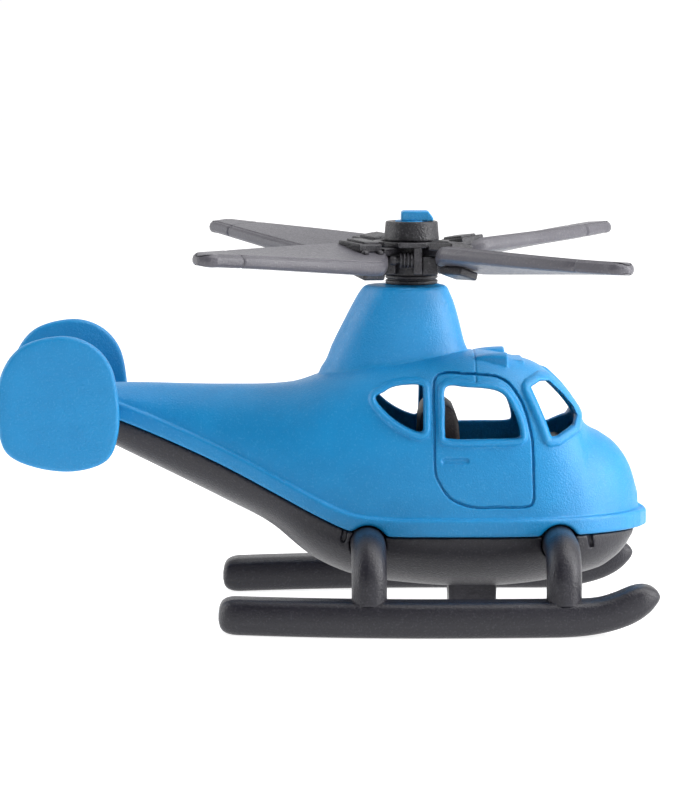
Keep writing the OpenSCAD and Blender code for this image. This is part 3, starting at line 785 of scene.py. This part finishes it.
def rotor_place(angle, pitch=0.0, height=0.0):
    """Places points given along a blade or arm: X outwards, Y anticlockwise, Z up."""
    a, p = math.radians(angle), math.radians(-pitch)

    def place(points):
        x, y, z = np.asarray(points, float).T
        y, z = y * math.cos(p) - z * math.sin(p), y * math.sin(p) + z * math.cos(p) + height
        return np.c_[ROTOR_X + x * math.cos(a) - y * math.sin(a), x * math.sin(a) + y * math.cos(a), z]

    return place


def bar(name, low, high, bevel, place):
    (x0, y0, z0), (x1, y1, z1) = low, high
    return slab(name, [(x0, y0), (x1, y0), (x1, y1), (x0, y1)], z0, z1, bevel, place)


def blade_section(half, thick):
    """One blade section, from the leading edge round: a rounded edge band under a crisp line."""
    edge = [(half - 2.6, 0.5), (half - 2.2, 0.42), (half - 1.3, 0.4), (half - 0.5, 0.28), (half, 0.02),
            (half - 0.12, -0.22), (half - 0.8, -0.41), (half - 2.1, -0.5)]
    inner = [(half * k, -0.5) for k in (0.6, 0.3, 0)]
    top = [(half * k, 0.5) for k in (0, 0.3, 0.6)]
    right = top + edge + inner
    return np.array([(v, w * thick) for v, w in right] + [(-v, w * thick) for v, w in right[-2:0:-1]])


def build_blade(i):
    place_at = rotor_place(BLADE_ANGLE + 90 * i)
    tip_centre = ROTOR_R - TIP_R
    us = np.r_[np.linspace(ROOT_R, 32, 16), np.linspace(34, tip_centre - 14, 26),
               np.linspace(tip_centre - 13, tip_centre, 30),
               tip_centre + TIP_R * np.sin(np.linspace(0.1, 1.56, 16))]
    rings = []
    for u in us:
        t = min((u - ROOT_R) / (tip_centre - ROOT_R), 1)
        pitch = math.radians(-(ROOT_PITCH + (TIP_PITCH - ROOT_PITCH) * t))
        past = max((u - tip_centre) / TIP_R, 0)
        half = curve(CHORD, u) / 2 * math.sqrt(max(1 - past**2, 0.0004))
        thick = BLADE_T * (1 - TAPER * t) * (1 - END_TAPER * past**4)
        vw = blade_section(max(half, LEAST_HALF), thick)
        vw[:, 0] *= half / max(half, LEAST_HALF)
        line = TIP_LINE_R + TIP_LINE_SLANT * vw[:, 0]
        vw *= 1 - TIP_LINE_DEPTH * np.exp(-(((u - line) / 0.5) ** 2))[:, None]
        y = vw[:, 0] * math.cos(pitch) - vw[:, 1] * math.sin(pitch)
        z = vw[:, 0] * math.sin(pitch) + vw[:, 1] * math.cos(pitch)
        rings.append(place_at(np.c_[np.full(len(y), u), y, BLADE_Z + BLADE_RISE[i] * t + z]))
    piece = crisp(loft(f"rotor_blade_{i + 1}", rings), 28)
    return finish_piece(piece, "rotor", GREY, "grey_plastic", f"blade_{i + 1}")


GRIP_R = 19.5
GRIP_L = 11.5
GRIP_GAP = 0.4
# The top pads lie flatter than the blades under them.
PAD_PITCH = 6
PAD_LIFT = 1.2


def build_grip(i):
    """The pads above and under a blade's root, its two knobs, and the neck that joins the hub."""
    angle = BLADE_ANGLE + 90 * i
    length = ROTOR_R - TIP_R - ROOT_R
    along = (GRIP_R - ROOT_R) / length
    pitch = ROOT_PITCH + (TIP_PITCH - ROOT_PITCH) * along
    height = BLADE_Z + BLADE_RISE[i] * along

    def leaning(place):
        """The same placing, leaned with the blade's rise towards its tip."""
        def hold(points):
            points = np.array(points, float)
            points[:, 2] += (points[:, 0] - GRIP_R) * BLADE_RISE[i] / length
            return place(points)
        return hold

    hold = leaning(rotor_place(angle, pitch, height))
    flatter = leaning(rotor_place(angle, PAD_PITCH, height + PAD_LIFT))
    level = rotor_place(angle)
    top, under = BLADE_T / 2 + GRIP_GAP, -BLADE_T / 2 - GRIP_GAP
    x0, x1 = GRIP_R, GRIP_R + GRIP_L
    # Measured along the blade from its root, across it and up from its middle.
    parts = [bar("pad", (x0 - 1, -10, top - 1.9), (x1, 2, top + 1.4), 0.6, flatter),
             bar("rim", (x0 - 0.4, -9, top + 1), (x1 - 3.4, 0.8, top + 2.2), 0.5, flatter),
             bar("under", (x0, -3, under - 3), (x1, 7, under + 0.3), 0.9, hold),
             bar("neck", (HUB_R - 0.6, -3, 141.1), (ROOT_R + 0.5, 3, 144.1), 0.5, level)]
    for u in (x0 + 1.6, x1 - 1.8):
        parts.append(bar("knob", (u - 1.4, 1.4, top - 1.2), (u + 1.4, 3.8, top + 1), 0.8, hold))
    piece = merge(f"root_grip_{i + 1}", parts)
    return finish_piece(piece, "rotor", HUB_GREY, "grey_plastic", f"blade_grip_{i + 1}")


# Outlines of the turned parts, as (radius, height).
COLLAR = [(BORE_R, 129.5), (10.1, 129.5), (10.3, 130.9), (9.5, 131.2), (9.5, 131.5), (10.3, 131.8),
          (10.1, HUB_Z), (BORE_R, HUB_Z)]
CAP = [(BORE_R, CAP_Z), (10.3, CAP_Z), (10.75, CAP_Z + 0.6), (10.2, CAP_TOP_Z),
       (BORE_R + 1.2, CAP_TOP_Z), (BORE_R, CAP_TOP_Z - 0.6)]
POST_R = BORE_R - 0.05
SHOULDER_R = 10
HEAD_LOW_Z = 154.3
HEAD_HALF_W = 5.2
SHAFT = [(0, 118), (POST_R, 118), (POST_R, 123.4), (SHOULDER_R, 123.4), (SHOULDER_R, 126.4),
         (POST_R, 126.4), (POST_R, HEAD_LOW_Z), (0, HEAD_LOW_Z)]
# The snap head in the side view, measured from the rotor's axis.
HEAD = [(-4.2, HEAD_LOW_Z), (8.4, HEAD_LOW_Z), (8.4, 155.2), (8.1, 155.7), (6.7, 157.6), (6.1, 158),
        (-3.3, 158), (-4.1, 157.5)]
FLANGE_LOW_Z, FLANGE_HIGH_Z = 144.2, 146.2
FLANGE_R = 12.4
SPOOL_R, SPOOL_Z = 12.5, 139.2
SPOOL_RIBS = 4
RIB_PITCH = 1.4


def ring_outline(inner, outer, low, high, round_off):
    return rounded_profile([(inner, low), (outer, low), (outer, high), (inner, high)], round_off)


def spool_outline():
    """A pin's head and neck, then a row of thin ribs."""
    outline = [(0, -8.8), (1.6, -8.8), (1.8, -8.5), (1.8, -6.5), (1.6, -6.2), (1.2, -6.1),
               (1.2, -5.1), (2.4, -5)]
    for k in range(SPOOL_RIBS):
        y = -5 + RIB_PITCH * k
        outline += [(2.75, y), (3.0, y + 0.2), (3.0, y + 0.7), (2.75, y + 0.9), (2.35, y + 1.0),
                    (2.35, y + 1.3)]
    return outline + [(0, 0.4)]


def build_spool(angle):
    spool = turned("spool", spool_outline(), axis="Y", steps=32)
    points = np.array([v.co for v in spool.data.vertices]) / MM + np.array([SPOOL_R, 0, SPOOL_Z])
    for vertex, point in zip(spool.data.vertices, rotor_place(angle)(points)):
        vertex.co = point * MM
    return crisp(face_out(spool), 50)


def build_hub():
    at = (ROTOR_X, 0, 0)
    quarters = [90 * i for i in range(4)]
    collar = turned("collar", rounded_profile(COLLAR, 0.35, 4), at)
    finish_piece(crisp(collar, 50), "rotor", HUB_GREY, "grey_plastic", "rotor_collar")
    parts = [crisp(turned("sleeve", ring_outline(BORE_R, HUB_R, HUB_Z, CAP_Z, 0.3), at), 50)]
    for angle in quarters:
        place = rotor_place(angle)
        parts.append(bar("rib", (HUB_R - 0.8, 0.4, 134), (15.2, 3.6, FLANGE_LOW_Z), 0.45, place))
        parts.append(bar("block", (6.4, 3.7, 133.4), (12, 10, 140.6), 0.8, place))
    finish_piece(merge("hub_core", parts), "rotor", HUB_GREY, "grey_plastic", "rotor_hub")
    cap = turned("cap", rounded_profile(CAP, 0.7, 6), at)
    finish_piece(crisp(cap, 50), "rotor", HUB_GREY, "grey_plastic", "rotor_cap")
    disc = turned("disc", ring_outline(HUB_R, FLANGE_R, FLANGE_LOW_Z, FLANGE_HIGH_Z, 0.4), at)
    arms = [bar("arm", (HUB_R + 0.5, -5.5, FLANGE_LOW_Z), (15, 5.5, FLANGE_HIGH_Z), 0.5, rotor_place(angle))
            for angle in quarters]
    flange = merge("flange", [crisp(disc, 50), *arms])
    finish_piece(flange, "rotor", HUB_GREY, "grey_plastic", "rotor_flange")
    spools = merge("spools", [build_spool(angle) for angle in quarters])
    finish_piece(spools, "rotor", HUB_GREY, "grey_plastic", "damper_spools")


def build_post():
    shaft = crisp(turned("shaft", rounded_profile(SHAFT, 0.3, 4), (ROTOR_X, 0, 0)), 50)
    hook = slab("hook", [(x + ROTOR_X, z) for x, z in HEAD], -HEAD_HALF_W, HEAD_HALF_W, 0.9, axis="Y")
    finish_piece(merge("snap_post", [shaft, hook]), "airframe", BLUE, "blue_plastic", "rotor_post")


build_shell()
build_hull()
build_cross_tube("front_strut", FRONT_TUBE_X)
build_cross_tube("rear_strut", REAR_TUBE_X)
for where, side in (("right", -1), ("left", 1)):
    build_skid(f"{where}_skid", side)
    build_fin(f"{where}_tail", side)
build_tailplane()
build_cabin()
build_foot()
build_hub()
build_post()
for blade_index in range(4):
    build_blade(blade_index)
    build_grip(blade_index)


# ---- Stage, light and camera, in metres --------------------------------------------------------
LIGHT_AIM = (0, 0, 0.07)
# Each soft light: its name, place, width and height, and power in watts.
LIGHTS = [("top", (0.5, -0.2, 1.0), (0.9, 0.9), 10),
          ("left", (-1.1, 0.1, 0.4), (0.5, 0.9), 5.5),
          ("right", (1.1, -0.25, 0.35), (0.5, 0.9), 13.5),
          ("front", (0.4, -1.2, 0.35), (0.8, 0.8), 1.7)]
FLOOR_HALF = 6
FLOOR_GLOW = 0.85
# The studio's brightness rises from the viewer's side (-Y) to the back.
STUDIO_FADE = (("From Min", -0.5), ("From Max", 0.25), ("To Min", 0.1), ("To Max", 1.02))


def area_light(name, place, size, power):
    lamp = bpy.data.lights.new(name, "AREA")
    lamp.shape = "RECTANGLE"
    lamp.size, lamp.size_y = size
    lamp.energy = power
    holder = bpy.data.objects.new(name, lamp)
    holder.location = place
    aim = Vector(LIGHT_AIM) - Vector(place)
    holder.rotation_euler = aim.to_track_quat("-Z", "Y").to_euler()
    bpy.context.collection.objects.link(holder)


def build_stage():
    world = bpy.data.worlds.new("studio")
    world.use_nodes = True
    tree = world.node_tree
    glow = tree.nodes["Background"]
    glow.inputs["Color"].default_value = (1, 1, 1, 1)
    place = tree.nodes.new("ShaderNodeTexCoord")
    split = tree.nodes.new("ShaderNodeSeparateXYZ")
    fade = tree.nodes.new("ShaderNodeMapRange")
    tree.links.new(place.outputs["Generated"], split.inputs[0])
    tree.links.new(split.outputs["Y"], fade.inputs["Value"])
    for socket, value in STUDIO_FADE:
        fade.inputs[socket].default_value = value
    tree.links.new(fade.outputs["Result"], glow.inputs["Strength"])
    bpy.context.scene.world = world
    corners = [(-FLOOR_HALF, -FLOOR_HALF, 0), (FLOOR_HALF, -FLOOR_HALF, 0),
               (FLOOR_HALF, FLOOR_HALF, 0), (-FLOOR_HALF, FLOOR_HALF, 0)]
    floor = make_object("floor", corners, [[0, 1, 2, 3]])
    n = Nodes("pale_floor")
    n.shader.inputs["Base Color"].default_value = (0.5, 0.5, 0.5, 1)
    n.shader.inputs["Roughness"].default_value = 0.9
    n.shader.inputs["Emission Color"].default_value = (1, 1, 1, 1)
    n.shader.inputs["Emission Strength"].default_value = FLOOR_GLOW
    floor.data.materials.append(n.material)
    for light in LIGHTS:
        area_light(*light)
    view = bpy.context.scene.view_settings
    view.view_transform = "Standard"
    view.look = "None"


CAMERA_DISTANCE = 1.5832
CAMERA_HEIGHT = 0.2433
CAMERA_YAW = math.radians(0.87)
CAMERA_PITCH = math.radians(5.76)
CAMERA_AIM_X = 0.0093
LENS = 182.3
SENSOR = 36


def build_camera():
    cam = bpy.data.cameras.new("camera")
    cam.lens = LENS
    cam.sensor_width = SENSOR
    cam.clip_start, cam.clip_end = 0.05, 30
    holder = bpy.data.objects.new("camera", cam)
    holder.location = (CAMERA_AIM_X - CAMERA_DISTANCE * math.sin(CAMERA_YAW),
                       -CAMERA_DISTANCE * math.cos(CAMERA_YAW), CAMERA_HEIGHT)
    holder.rotation_euler = (math.pi / 2 - CAMERA_PITCH, 0, -CAMERA_YAW)
    bpy.context.collection.objects.link(holder)
    bpy.context.scene.camera = holder


build_stage()
build_camera()
